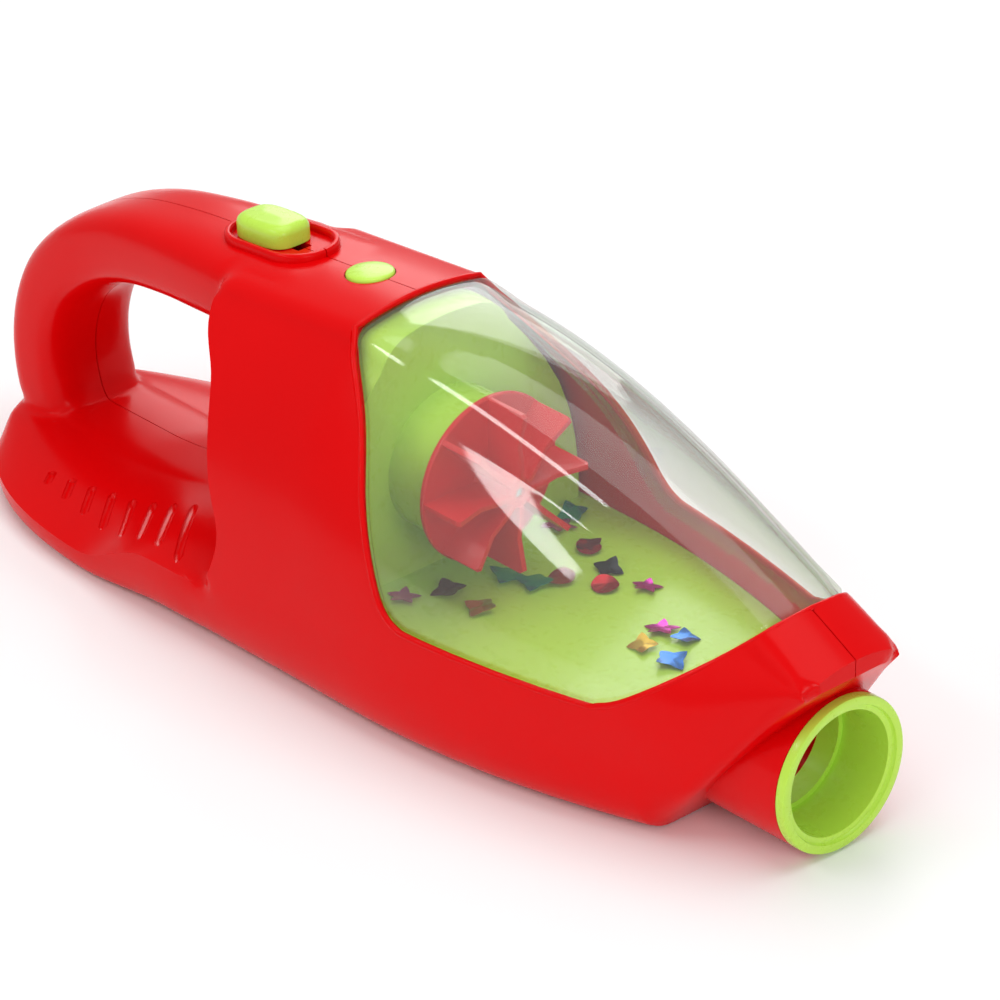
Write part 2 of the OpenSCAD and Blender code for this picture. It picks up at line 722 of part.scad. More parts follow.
// Slide switch: knob on the roof, slider through the slot, switch held under the roof
knob_rest = -switch_travel / 2;
knob_z0 = well_z + gap;
stem_l = 10;
stem_w = 4.4;
stem_low = -9;
module switch_knob() {
  color([0.7, 0.88, 0.35])
    on_roof(switch_x)
      translate([knob_rest, 0, knob_z0]) {
        racetrack(knob_l, knob_w, knob_h - knob_z0 - over);
        translate([0, 0, knob_h - knob_z0 - over])
          racetrack(knob_l - 2 * over, knob_w - 2 * over, over);
      }
}
finger_w = 3;
finger_low = -12;
plate_w = 8;
plate_t = 1.6;
module switch_slider() {
  color("dimgray")
    on_roof(switch_x)
      translate([knob_rest, 0, 0]) {
        translate([-stem_l / 2, -stem_w / 2, stem_low])
          cube([stem_l, stem_w, knob_z0 - stem_low]);
        translate([-stem_l / 2, -plate_w / 2, -rim_sink - gap - plate_t])
          cube([stem_l, plate_w, plate_t]);
        translate([-finger_w / 2, -finger_w / 2, finger_low])
          cube([finger_w, finger_w, stem_low - finger_low + over]);
      }
}
module slide_switch() {
  color("black")
    on_roof(switch_x)
      difference() {
        translate([-switch_l / 2, -switch_w / 2, switch_z])
          cube([switch_l, switch_w, switch_t]);
        translate([-finger_w / 2 - switch_travel / 2 - gap, -finger_w / 2 - gap, finger_low - gap])
          cube([finger_w + switch_travel + 2 * gap, finger_w + 2 * gap, switch_t]);
      }
}

// Round button: cap, flange under the roof, stem inside a spring, switch below
button_top = 0.7;
flange_r = 8.6;
flange_t = 1.2;
flange_z = -3.9;
button_stem_r = 2;
plunger_r = 1.6;
plunger_h = 0.6;
pad_top = pad_z + pad_t;
button_stem_low = pad_top + plunger_h + button_travel + gap;
// Two flats let the flange pass between the holders, also when the button is down
flat_half_w = pad_w / 2 + seat_gap - gap;
flat_top = button_travel + gap - rim_sink;
module round_button() {
  color([0.7, 0.88, 0.35])
    on_roof(button_x) {
      difference() {
        union() {
          translate([0, 0, flange_z])
            cylinder(r = button_r, h = button_top - flange_z, $fn = fine);
          translate([0, 0, flange_z])
            cylinder(r = flange_r, h = flange_t, $fn = fine);
        }
        for (s = [-1, 1])
          translate([s * (flat_half_w + flange_r) - flange_r, -2 * flange_r, flange_z - over])
            cube([2 * flange_r, 4 * flange_r, flat_top - flange_z + over]);
      }
      translate([0, 0, button_stem_low])
        cylinder(r = button_stem_r, h = flange_z - button_stem_low + over, $fn = fine);
    }
}
spring_r = 4.2;
spring_wire = 0.5;
spring_turns = 5;
module button_spring() {
  steps = spring_turns * 12;
  z0 = pad_top + spring_wire;
  z1 = flange_z - spring_wire;
  color("silver")
    on_roof(button_x)
      loft([for (j = [0:steps]) let (q = 360 * spring_turns * j / steps, z = mix(z0, z1, j / steps))
        [for (i = [0:5]) let (w = 60 * i, r = spring_r + spring_wire * cos(w))
          [r * cos(q), r * sin(q), z + spring_wire * sin(w)]]]);
}
module button_switch() {
  color("black")
    on_roof(button_x) {
      translate([-pad_w / 2, -pad_w / 2, pad_z])
        cube([pad_w, pad_w, pad_t]);
      translate([0, 0, pad_top - over])
        cylinder(r = plunger_r, h = over + plunger_h, $fn = fine);
    }
}

// Battery box: open below, on the bottom wall round the door's opening
box_edge = 3;
box_h = 20.5;
box_l = door_l + 2 * box_edge;
box_w = door_w + 2 * box_edge;
cell_pitch = 15.2;
cell_z = 11.6;
door_boss_r = 2.3;
boss_gap = 0.6;
door_screw_y = (cells - 1) / 2 * cell_pitch + cell_r + door_boss_r + boss_gap;
module battery_box() {
  color("dimgray")
    difference() {
      translate([battery_x - box_l / 2, -box_w / 2, wall])
        cube([box_l, box_w, box_h - wall]);
      difference() {
        translate([battery_x - box_l / 2 + thin, -box_w / 2 + thin, wall - over])
          cube([box_l - 2 * thin, box_w - 2 * thin, box_h - wall - thin + over]);
        translate([battery_x - door_boss_r, door_screw_y - door_boss_r, wall])
          cube([2 * door_boss_r, 2 * door_boss_r + box_edge, box_h]);
      }
      translate([battery_x, door_screw_y, 0])
        cylinder(r = screw_r, h = cell_z, $fn = fine);
    }
}
module battery_cells() {
  color("olive")
    for (i = [0:cells - 1])
      translate([0, cell_pitch * (i - (cells - 1) / 2), 0])
        along_x(battery_x - cell_l / 2, cell_z)
          cylinder(r = cell_r, h = cell_l, $fn = fine);
}
contact_w = 9;
contact_t = 0.8;
contact_r = 2.5;
module battery_contacts() {
  reach = (box_l - cell_l) / 2 - thin;
  color("silver")
    for (i = [0:cells - 1])
      for (s = [-1, 1])
        translate([battery_x, cell_pitch * (i - (cells - 1) / 2), cell_z]) {
          translate([s * (box_l / 2 - thin - contact_t / 2), 0, 0])
            cube([contact_t, contact_w, contact_w], center = true);
          translate([s * (cell_l / 2 + reach / 2), 0, 0])
            rotate([0, 90, 0])
              cylinder(r = contact_r, h = reach, center = true, $fn = fine);
        }
}
head_sink = 1.2;
module battery_door() {
  color("red")
    difference() {
      linear_extrude(wall)
        door_shape(0);
      translate([battery_x, door_screw_y, -over])
        cylinder(r = screw_r + run_gap, h = 2 * wall + over, $fn = fine);
      translate([battery_x, door_screw_y, 0])
        cylinder(r1 = screw_head_r, r2 = screw_r, h = head_sink, $fn = fine);
    }
}
module door_screw() {
  color("silver")
    translate([battery_x, door_screw_y, 0]) {
      cylinder(r = screw_r, h = cell_z - over, $fn = fine);
      cylinder(r1 = screw_head_r - run_gap, r2 = screw_r - run_gap, h = head_sink, $fn = fine);
    }
}
module body_screws() {
  color("silver")
    screw_places() {
      translate([0, 0, -screw_in + over])
        cylinder(r = screw_r, h = screw_in + head_y, $fn = fine);
      translate([0, 0, head_y])
        cylinder(r = screw_head_r, h = head_t, $fn = fine);
    }
}

// Wires inside the body, swept along hand-chosen points
wire_r = 0.9;
wire_sides = 8;
module wire(pts) {
  n = len(pts);
  loft([for (j = [0:n - 1])
    let (d = pts[min(j + 1, n - 1)] - pts[max(j - 1, 0)], t = d / norm(d),
         u = cross(t, [0, 1, 0]) / norm(cross(t, [0, 1, 0])), v = cross(u, t))
      [for (i = [0:wire_sides - 1]) let (q = 360 * i / wire_sides)
        pts[j] + wire_r * (cos(q) * u + sin(q) * v)]]);
}
// The red one rises to the slide switch by shares of the way, the black one hangs below the motor's axis
red_drop = 12.61;
red_top = roof_z(switch_x) - red_drop;
red_shares = [[-44, 10, 0.000], [-44, 10, 0.085], [-45, 10, 0.209], [-46.5, 10, 0.364], [-48.5, 10, 0.550],
  [-52, 10, 0.705], [-57, 10, 0.829], [-62, 9.8, 0.922], [-67, 9.4, 0.978],
  [-72, 8.8, 0.997], [-76, 7.6, 1.000]];
red_end_x = -77.6;
red_route = concat([for (p = red_shares) [p[0], p[1], mix(box_h, red_top, p[2])]],
  [[red_end_x, switch_w / 2, red_top]]);
black_rise = 4;
black_line = [[-45, -10, 24], [-45.4, -9.4, 17], [-45, -8, 12.4], [-43.4, -6.6, 10.4]];
black_drop = 10;
black_route = concat([[-44, -10, box_h], [-44, -10, box_h + black_rise]],
  [for (p = black_line) [p[0], p[1], fan_h - p[2]]], [[retainer_x, -6, fan_h - black_drop]]);
module red_wire() {
  color("red")
    wire(red_route);
}
module black_wire() {
  color("black")
    wire(black_route);
}

// Confetti: thin foil pieces lying on the bin's floor
foil_t = 0.5;
foil_r = 4;
star_in_share = 0.5;
foil_turn = 37;
foil_places = [[-8, -23], [0, -13], [12, -13], [3, 4], [12, 7], [16, 15], [8, 31], [-6, 38], [20, 27],
  [26, 20], [35, 28], [-6, 28], [53, 15], [57, 4], [62, 20], [67, 7]];
module star(points, r) {
  linear_extrude(foil_t)
    polygon([for (i = [0:2 * points - 1]) let (k = i % 2 == 0 ? r : r * star_in_share)
      [k * cos(180 * i / points), k * sin(180 * i / points)]]);
}
module confetti() {
  color("magenta")
    for (i = [0:len(foil_places) - 1])
      translate([foil_places[i][0], foil_places[i][1], floor_h])
        rotate([0, 0, foil_turn * i])
          if (i % 3 == 0)
            star(5, foil_r);
          else if (i % 3 == 1)
            translate([-foil_r / 2, -foil_r / 2, 0])
              cube([foil_r, foil_r, foil_t]);
          else
            star(4, foil_r);
}

left_shell();
right_shell();
clear_dome();
bulkhead();
bin_floor();
nozzle_ring();
fan_impeller();
motor_shaft();
motor_can();
motor_end_cap();
motor_retainer();
retainer_screws();
switch_knob();
switch_slider();
slide_switch();
round_button();
button_spring();
button_switch();
battery_box();
battery_cells();
battery_contacts();
battery_door();
door_screw();
body_screws();
red_wire();
black_wire();
confetti();
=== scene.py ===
"""Looks of the toy vacuum cleaner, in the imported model's frame. Lengths are in millimetres unless noted."""
import math

import bmesh
import bpy
import numpy as np
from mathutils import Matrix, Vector, kdtree


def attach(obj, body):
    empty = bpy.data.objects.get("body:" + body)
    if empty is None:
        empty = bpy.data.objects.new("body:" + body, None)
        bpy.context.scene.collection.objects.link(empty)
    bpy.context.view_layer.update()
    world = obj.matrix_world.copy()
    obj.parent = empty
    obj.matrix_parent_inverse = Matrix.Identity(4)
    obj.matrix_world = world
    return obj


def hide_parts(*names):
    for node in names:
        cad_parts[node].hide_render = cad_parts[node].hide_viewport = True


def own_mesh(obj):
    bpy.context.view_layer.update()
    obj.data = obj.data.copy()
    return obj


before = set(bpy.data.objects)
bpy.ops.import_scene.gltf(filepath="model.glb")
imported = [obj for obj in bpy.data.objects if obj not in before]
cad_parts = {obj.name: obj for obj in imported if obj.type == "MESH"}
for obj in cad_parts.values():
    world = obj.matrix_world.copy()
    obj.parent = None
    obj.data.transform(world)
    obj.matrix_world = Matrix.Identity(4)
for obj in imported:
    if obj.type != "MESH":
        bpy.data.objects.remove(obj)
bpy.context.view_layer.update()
MM = 0.001
TAU = 2 * math.pi
CORNERS = ((-1, -1), (1, -1), (1, 1), (-1, 1))

# Form of the pod, by the same formulas as in the CAD; widths are half widths
ARCH_X = -27.0
BROW_X = 123.0
NOSE_X = 139.0
CHIN_X = 96.0
SILL_END = 90.0
SILL_H = 37.5
ROOF_H = 103.0
BROW_H = 59.0
BROW_EDGE = 5.0
FALL = 0.098
TILT = math.atan(FALL)
CHIN_RISE = (BROW_H - BROW_EDGE) / (NOSE_X - CHIN_X)
ROOF_POWER = 1.9
SWELL = 13.0
SWELL_LEAN = 0.55
ROOF_W = 24.5
BROW_W = 17.0
BELLY_W = 54.5
LEDGE_W = 1
TAPER = 18.0
BELLY_H = 22.0
BELLY_RISE = 6
BELLY_TOP_SHARE = 0.45
BELLY_R = 14.0
BULGE = 8.2
CROWN = 3.0
CREASE = 4.0
DOME_CREASE = 11.0
WALL = 1.8

# Form of the low tail; pairs hold the value at the rear and the one at the pod
LOOP_X = -186.0
TAIL_END_X = -30
TAIL_FRONT_H = 27
TAIL_REAR_H = 17.5
TAIL_FALL_X = -62
TAIL_FALL_L = 70
TAIL_W = 53
TAIL_ROUND_X = -96
TAIL_ROUND_POWER = 2.6
TAIL_JOIN_X = -112
TAIL_JOIN_L = 34
TAIL_JOIN_W = 54.6
TAIL_NARROWING = 1.2
TAIL_NARROW_X = -76
TAIL_NARROW_L = 40
TAIL_LEAST_W = 2
TAIL_CREST_W = 13.5
TAIL_CREST_SHARE = 0.6
TAIL_CROWN = 0.6
TAIL_CREASE = 3
TAIL_BULGE = 1.6
TAIL_SIDE_H = (8, 20)
TAIL_EDGE_R = (6, 14)

# Point counts of a half section: crown, crease, side, lower corner, bottom
FINE = (12, 8, 26, 12, 6)
COARSE = (6, 5, 14, 8, 3)
DOME_FINE = (16, 12, 60, 4, 2)
SHORT_LIMIT = 0.8  # largest share of a short side that a rounded corner takes up
LONG_LIMIT = 0.45  # and of a long side

# Places of the other pieces
FAN_H = 57.0
FLOOR_H = 25.0
NOZZLE_H = 23.0
STUB_R = 22.4
STUB_X = 133.0
SWITCH_X = -82.0
BUTTON_X = -46.0


def mix(a, b, t):
    return a + (b - a) * t


def lim(v, a, b):
    return max(a, min(b, v))


def smooth(t):
    t = lim(t, 0, 1)
    return t * t * (3 - 2 * t)


def dome_t(x):
    return (x - ARCH_X) / (NOSE_X - ARCH_X)


def roof_z(x):
    if x < ARCH_X:
        return ROOF_H + FALL * (x - ARCH_X)
    t = dome_t(x)
    return mix(ROOF_H, BROW_H, t ** ROOF_POWER) + SWELL * t * (1 - t) * (1 - t * SWELL_LEAN)


def roof_w(x):
    return mix(ROOF_W, BROW_W, smooth(dome_t(x)))


def side_w(x):
    return max(roof_w(x) + LEDGE_W, BELLY_W - TAPER * (max(0, x) / CHIN_X) ** 2)


def bottom_z(x):
    return max(0, (x - CHIN_X) * CHIN_RISE)


def nose_fade(x):
    return 1 - smooth((x - SILL_END) / (NOSE_X - SILL_END))


def crease(x):
    return mix(CREASE, DOME_CREASE, smooth((x - ARCH_X) / (2 * DOME_CREASE)) * nose_fade(x))


def widest_z(x):
    highest = mix(bottom_z(x), roof_z(x) - CROWN, BELLY_TOP_SHARE)
    return min(max(BELLY_H, bottom_z(x) + BELLY_RISE), highest)


def bend(a, b, c, t):
    """Point of the curve from a to c that b pulls towards itself."""
    return (1 - t) ** 2 * a + 2 * t * (1 - t) * b + t * t * c


def section(top, edge_w, crown, edge_r, wide_w, wide_z, low, low_r, bulge, counts=FINE):
    """Half section from the top seam to the bottom seam, as points (y, z)."""
    edge = np.array([edge_w, top - crown])
    wide = np.array([wide_w, wide_z])
    flat = 1 - lim(edge_r / edge_w, 0, SHORT_LIMIT)
    start = np.array([edge_w * flat, top - crown * flat * flat])
    end = edge + (wide - edge) * lim(edge_r / np.linalg.norm(wide - edge), 0, LONG_LIMIT)
    up = edge - wide
    outward = np.array([up[1], -up[0]]) / np.linalg.norm(up)
    corner_r = min(low_r, (wide_z - low) * SHORT_LIMIT, wide_w * LONG_LIMIT)
    corner = np.array([wide_w, low])
    inner = np.array([wide_w - corner_r, low])
    out = []
    for i in range(counts[0]):
        y = start[0] * i / counts[0]
        out.append(np.array([y, top - crown * (y / edge_w) ** 2]))
    for i in range(counts[1] + 1):
        out.append(bend(start, edge, end, i / counts[1]))
    for i in range(1, counts[2] + 1):
        t = i / counts[2]
        out.append(end + (wide - end) * t + outward * bulge * math.sin(math.pi * t))
    for i in range(1, counts[3] + 1):
        out.append(bend(wide, corner, inner, i / counts[3]))
    for i in range(1, counts[4] + 1):
        t = i / counts[4]
        out.append(inner * (1 - t) + np.array([0, low]) * t)
    return out


def ring3(x, half):
    """The whole section at x, from its left half."""
    right = [(x, -p[0], p[1]) for p in half[-2:0:-1]]
    return [(x, p[0], p[1]) for p in half] + right


def pod_half(x, g, counts=FINE):
    """The pod's half section, moved inwards by g."""
    return section(roof_z(x) - g, roof_w(x) - g, CROWN, crease(x), side_w(x) - g, widest_z(x),
                   bottom_z(x) + g, BELLY_R, BULGE * nose_fade(x), counts)


def tail_z(x):
    return mix(TAIL_FRONT_H, TAIL_REAR_H, smooth((TAIL_FALL_X - x) / TAIL_FALL_L))


def tail_w(x):
    t = lim((TAIL_ROUND_X - x) / (TAIL_ROUND_X - LOOP_X), 0, 1)
    return TAIL_W * math.sqrt(max(0, 1 - t ** TAIL_ROUND_POWER))


def tail_half(x, g):
    """The tail's half section, moved inwards by g; it fades into the pod's belly."""
    near = smooth((x - TAIL_JOIN_X) / TAIL_JOIN_L)
    join_w = TAIL_JOIN_W - TAIL_NARROWING * smooth((x - TAIL_NARROW_X) / TAIL_NARROW_L)
    w = max(mix(tail_w(x), join_w, near) - g, TAIL_LEAST_W)
    crest_w = min(TAIL_CREST_W - g * TAIL_CREST_SHARE, w * TAIL_CREST_SHARE)
    return section(tail_z(x) - g, crest_w, TAIL_CROWN, TAIL_CREASE, w, mix(*TAIL_SIDE_H, near) - g, g,
                   mix(*TAIL_EDGE_R, near), TAIL_BULGE)


def tail_top(x, y):
    """Height of the tail's upper side."""
    p = np.array(tail_half(x, 0))
    k = int(np.argmax(p[:, 0])) + 1
    return float(np.interp(y, p[:k, 0], p[:k, 1]))


# Mesh tools
def link(obj):
    bpy.context.scene.collection.objects.link(obj)
    return obj


def new_object(name, verts, faces):
    mesh = bpy.data.meshes.new(name)
    mesh.from_pydata([(x * MM, y * MM, z * MM) for x, y, z in verts], [], faces)
    mesh.validate()
    bm = bmesh.new()
    bm.from_mesh(mesh)
    bmesh.ops.recalc_face_normals(bm, faces=bm.faces)
    bm.to_mesh(mesh)
    bm.free()
    return link(bpy.data.objects.new(name, mesh))


def loft(name, rings, closed=False):
    """A skin over rings of points, with flat ends, or round a circle where it is closed."""
    n = len(rings[0])
    m = len(rings)
    verts = [p for r in rings for p in r]
    faces = []
    for j in range(m if closed else m - 1):
        a = j * n
        b = (j + 1) % m * n
        faces += [(a + i, a + (i + 1) % n, b + (i + 1) % n, b + i) for i in range(n)]
    if not closed:
        faces += [tuple(range(n - 1, -1, -1)), tuple((m - 1) * n + i for i in range(n))]
    return new_object(name, verts, faces)


def baked(obj):
    """Applies the object's modifiers to its mesh."""
    bpy.context.view_layer.update()
    graph = bpy.context.evaluated_depsgraph_get()
    mesh = bpy.data.meshes.new_from_object(obj.evaluated_get(graph))
    obj.modifiers.clear()
    old = obj.data
    obj.data = mesh
    bpy.data.meshes.remove(old)


def cut(a, b, op="DIFFERENCE", keep=False):
    mod = a.modifiers.new("cut", "BOOLEAN")
    mod.object = b
    mod.operation = op
    mod.solver = "MANIFOLD"
    baked(a)
    if not keep:
        bpy.data.objects.remove(b)
    return a


def soften(obj, width):
    """Rounds the object's edges by a bevel modifier."""
    mod = obj.modifiers.new("soft edge", "BEVEL")
    mod.width = width * MM
    mod.segments = 2
    mod.limit_method = "ANGLE"
    mod.angle_limit = math.radians(40)


def smooth_faces(mesh):
    for p in mesh.polygons:
        p.use_smooth = True


def shade(obj, angle):
    smooth_faces(obj.data)
    obj.data.set_sharp_from_angle(angle=math.radians(angle))


def circle(n):
    """Cosines and sines of n even steps round a circle."""
    return [(math.cos(TAU * i / n), math.sin(TAU * i / n)) for i in range(n)]


def squarish(v, power):
    """A cosine or sine, bent from a circle towards a square."""
    return math.copysign(abs(v) ** power, v)


def heading(line, i):
    """Unit direction of a line of points at its point i."""
    d = np.array(line[min(i + 1, len(line) - 1)]) - np.array(line[max(i - 1, 0)])
    return d / np.linalg.norm(d)


def on_roof(x, p):
    """A point given square to the roof at x, in the row frame."""
    c = math.cos(TILT)
    s = math.sin(TILT)
    return (x + p[0] * c - p[2] * s, p[1], roof_z(x) + p[0] * s + p[2] * c)


def disc_on_roof(x, r, z, n):
    """A ring of points round the roof's normal at x."""
    return [on_roof(x, (r * c, r * s, z)) for c, s in circle(n)]


def racetrack(l, w, n=24):
    r = w / 2
    h = (l - w) / 2
    pts = []
    for side in (1, -1):
        for i in range(n + 1):
            q = math.pi * (i / n - 0.5) + (0 if side > 0 else math.pi)
            pts.append((side * h + r * math.cos(q), r * math.sin(q)))
    return pts


def lathe_x(name, profile, x0, z0, n=96):
    """A closed ring from (x, r) points that go round its section."""
    rings = [[(x0 + x, r * c, z0 + r * s) for x, r in profile] for c, s in circle(n)]
    return loft(name, rings, closed=True)


def rod_y(name, x, z, r, y0, y1, n=32):
    return loft(name, [[(x + r * c, y, z + r * s) for c, s in circle(n)] for y in (y0, y1)])


def rod_x(name, r, x0, x1, z, n=96):
    return loft(name, [[(x, r * c, z + r * s) for c, s in circle(n)] for x in (x0, x1)])


def prism(name, pts, half=120):
    return loft(name, [[(x, y, z) for x, z in pts] for y in (-half, half)])


def tube(name, line, radii, hint, sides):
    """A tube along a line of points; hint is a direction that isn't along it."""
    rings = []
    for i, (p, r) in enumerate(zip(line, radii)):
        d = heading(line, i)
        u = np.cross(d, hint)
        u /= np.linalg.norm(u)
        v = np.cross(u, d)
        rings.append([tuple(np.array(p) + r * (u * c + v * s)) for c, s in circle(sides)])
    return loft(name, rings)


def curve(pts, steps):
    """Points along a smooth curve through the given ones."""
    p = [np.array(v, float) for v in pts]
    out = []
    for i in range(len(p) - 1):
        a, b, c, d = p[max(0, i - 1)], p[i], p[i + 1], p[min(len(p) - 1, i + 2)]
        for k in range(steps):
            t = k / steps
            out.append((2 * b + (c - a) * t + (2 * a - 5 * b + 4 * c - d) * t * t
                        + (3 * b - a - 3 * c + d) * t ** 3) / 2)
    return out + [p[-1]]


# Materials
def node(tree, kind, **inputs):
    """A new node with the given input values."""
    n = tree.nodes.new(kind)
    for k, v in inputs.items():
        n.inputs[k.replace("_", " ")].default_value = v
    return n


def noise(tree, **inputs):
    """Noise in the object's own coordinates."""
    n = node(tree, "ShaderNodeTexNoise", **inputs)
    place = tree.nodes.new("ShaderNodeTexCoord")
    tree.links.new(place.outputs["Object"], n.inputs["Vector"])
    return n.outputs["Fac"]


def map_range(tree, source, low, high):
    n = node(tree, "ShaderNodeMapRange", To_Min=low, To_Max=high)
    tree.links.new(source, n.inputs["Value"])
    return n.outputs["Result"]


def ramp(tree, source, places, colours):
    """A colour ramp with two stops."""
    n = tree.nodes.new("ShaderNodeValToRGB")
    for stop, place, colour in zip(n.color_ramp.elements, places, colours):
        stop.position = place
        stop.color = colour
    tree.links.new(source, n.inputs["Fac"])
    return n.outputs["Color"]


def new_material(name):
    mat = bpy.data.materials.new(name)
    mat.use_nodes = True
    return mat


def plastic(name, colour, rough, vary=0.06, coat=0.35, bump=0.05, scale=900.0, tone=0.07, spec=0.5):
    """Moulded plastic: faint tone drift, roughness patches and a fine skin texture."""
    mat = new_material(name)
    t = mat.node_tree
    b = t.nodes["Principled BSDF"]
    drift = noise(t, Scale=14.0, Detail=4.0)
    skin = noise(t, Scale=scale, Detail=3.0)
    patches = noise(t, Scale=160.0, Detail=5.0, Roughness=0.7)
    darker = [c * (1 - tone) for c in colour] + [1]
    lighter = [min(1, c * (1 + tone)) for c in colour] + [1]
    t.links.new(ramp(t, drift, (0.3, 0.7), (darker, lighter)), b.inputs["Base Color"])
    t.links.new(map_range(t, patches, rough - vary, rough + vary), b.inputs["Roughness"])
    grain = node(t, "ShaderNodeBump", Strength=bump, Distance=0.0002)
    t.links.new(skin, grain.inputs["Height"])
    t.links.new(grain.outputs["Normal"], b.inputs["Normal"])
    b.inputs["Specular IOR Level"].default_value = spec
    b.inputs["Coat Weight"].default_value = coat
    b.inputs["Coat Roughness"].default_value = 0.06
    return mat


def metal(name, colour, rough, metallic=1.0, bump=0.1, scale=1200.0):
    mat = plastic(name, colour, rough, vary=0.08, coat=0.0, bump=bump, scale=scale, tone=0.1)
    mat.node_tree.nodes["Principled BSDF"].inputs["Metallic"].default_value = metallic
    return mat


def clear(name):
    """Thin clear plastic: see-through, with a mirror layer that grows at the edges and faint haze."""
    mat = new_material(name)
    t = mat.node_tree
    t.nodes.remove(t.nodes["Principled BSDF"])
    facing = node(t, "ShaderNodeLayerWeight", Blend=0.5).outputs["Facing"]
    through = t.nodes.new("ShaderNodeBsdfTransparent")
    tints = ((0.975, 0.985, 0.975, 1), (0.74, 0.775, 0.75, 1))
    t.links.new(ramp(t, facing, (0.4, 1.0), tints), through.inputs["Color"])
    shine = node(t, "ShaderNodeBsdfGlossy", Color=(1, 1, 1, 1))
    patches = noise(t, Scale=30.0, Detail=4.0)
    t.links.new(map_range(t, patches, 0.02, 0.07), shine.inputs["Roughness"])
    power = t.nodes.new("ShaderNodeMath")
    power.operation = "POWER"
    power.inputs[1].default_value = 4.0
    t.links.new(facing, power.inputs[0])
    mirror = t.nodes.new("ShaderNodeMixShader")
    t.links.new(map_range(t, power.outputs["Value"], 0.026, 0.55), mirror.inputs["Fac"])
    t.links.new(through.outputs["BSDF"], mirror.inputs[1])
    t.links.new(shine.outputs["BSDF"], mirror.inputs[2])
    haze = node(t, "ShaderNodeBsdfDiffuse", Color=(0.9, 0.92, 0.9, 1))
    milky = node(t, "ShaderNodeMixShader", Fac=0.03)
    t.links.new(mirror.outputs["Shader"], milky.inputs[1])
    t.links.new(haze.outputs["BSDF"], milky.inputs[2])
    t.links.new(milky.outputs["Shader"], t.nodes["Material Output"].inputs["Surface"])
    return mat


RED = plastic("red plastic", (0.7, 0.001, 0.002), 0.22, coat=0.02, tone=0.03, spec=0.1)
FAN_RED = plastic("fan plastic", (0.72, 0.008, 0.012), 0.32, coat=0.05, tone=0.03, spec=0.25)
LIME = plastic("lime plastic", (0.5, 0.78, 0.075), 0.28, coat=0.1, tone=0.025, spec=0.35)
DARK = plastic("dark plastic", (0.018, 0.02, 0.022), 0.5, coat=0.0, bump=0.2)
STEEL = metal("steel", (0.46, 0.47, 0.48), 0.3)
WRAP = plastic("cell wrap", (0.1, 0.13, 0.17), 0.35)
WIRE_RED = plastic("red sleeve", (0.42, 0.01, 0.01), 0.45, coat=0.0)
WIRE_BLACK = plastic("black sleeve", (0.01, 0.01, 0.01), 0.45, coat=0.0)
CLEAR = clear("clear plastic")


def paint(obj, material):
    obj.data.materials.clear()
    obj.data.materials.append(material)


def piece(obj, body, material, slot, *nodes, angle):
    paint(obj, material)
    shade(obj, angle)
    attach(obj, body)
    if nodes:
        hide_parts(*nodes)
    return obj


# Half shells: outer form less inner form, with rounded inner corners where handle and tail meet the pod
POD_START_X = -90
POD_SIDE = [(-82, 120), (-80, 90), (-66, 74), (-56, 52), (-50, 37), (-56, 20), (-68, 8), (-76, -9)]
POD_SIDE_STEPS = 8
FAR_X = 190
TAIL_STEPS = 56
GRIP = [(-58, 88.6), (-76, 87.2), (-96, 85.2), (-116, 83), (-136, 79), (-153, 71.5), (-167, 59),
        (-174, 44), (-175, 28), (-170, 10)]
GRIP_STEPS = 10
GRIP_SIDES = 56
GRIP_W = 16.5
GRIP_R = 11
GRIP_POWER = 0.55
GRIP_FLARE = 1.4
GRIP_FLARE_POINTS = 5


def shifted(pts, g):
    """The pod's rear line, moved forwards by g across itself."""
    out = []
    for i, p in enumerate(pts):
        d = heading(pts, i)
        out.append((p[0] - d[1] * g, p[1] + d[0] * g))
    return out


def body_form(g, stations, counts):
    """Pod, tail and grip in one, moved inwards by g."""
    xs = [mix(POD_START_X, NOSE_X - g, i / stations) for i in range(stations + 1)]
    pod = loft("pod", [ring3(x, pod_half(x, g, counts)) for x in xs])
    rear = shifted(curve(POD_SIDE, POD_SIDE_STEPS), g)
    front = [(FAR_X, POD_SIDE[-1][1]), (FAR_X, POD_SIDE[0][1])]
    cut(pod, prism("rear", rear + front), "INTERSECT")
    tail_x = [mix(LOOP_X + g, TAIL_END_X - g, 1 - math.cos(math.pi / 2 * i / TAIL_STEPS))
              for i in range(TAIL_STEPS + 1)]
    cut(pod, loft("tail", [ring3(x, tail_half(x, g)) for x in tail_x]), "UNION")
    line = curve(GRIP, GRIP_STEPS)
    rings = []
    for j, p in enumerate(line):
        d = heading(line, j)
        w = GRIP_W * mix(GRIP_FLARE, 1, smooth(j / GRIP_STEPS / GRIP_FLARE_POINTS)) - g
        ring = []
        for c, s in circle(GRIP_SIDES):
            k = (GRIP_R - g) * squarish(s, GRIP_POWER)
            ring.append((p[0] + d[1] * k, w * squarish(c, GRIP_POWER), p[1] - d[0] * k))
        rings.append(ring)
    return cut(pod, loft("grip", rings), "UNION")


WELD = 0.00005  # metres
CONCAVE = -0.3  # radians
LONGEST_EDGE = 2
EASE = 0.6


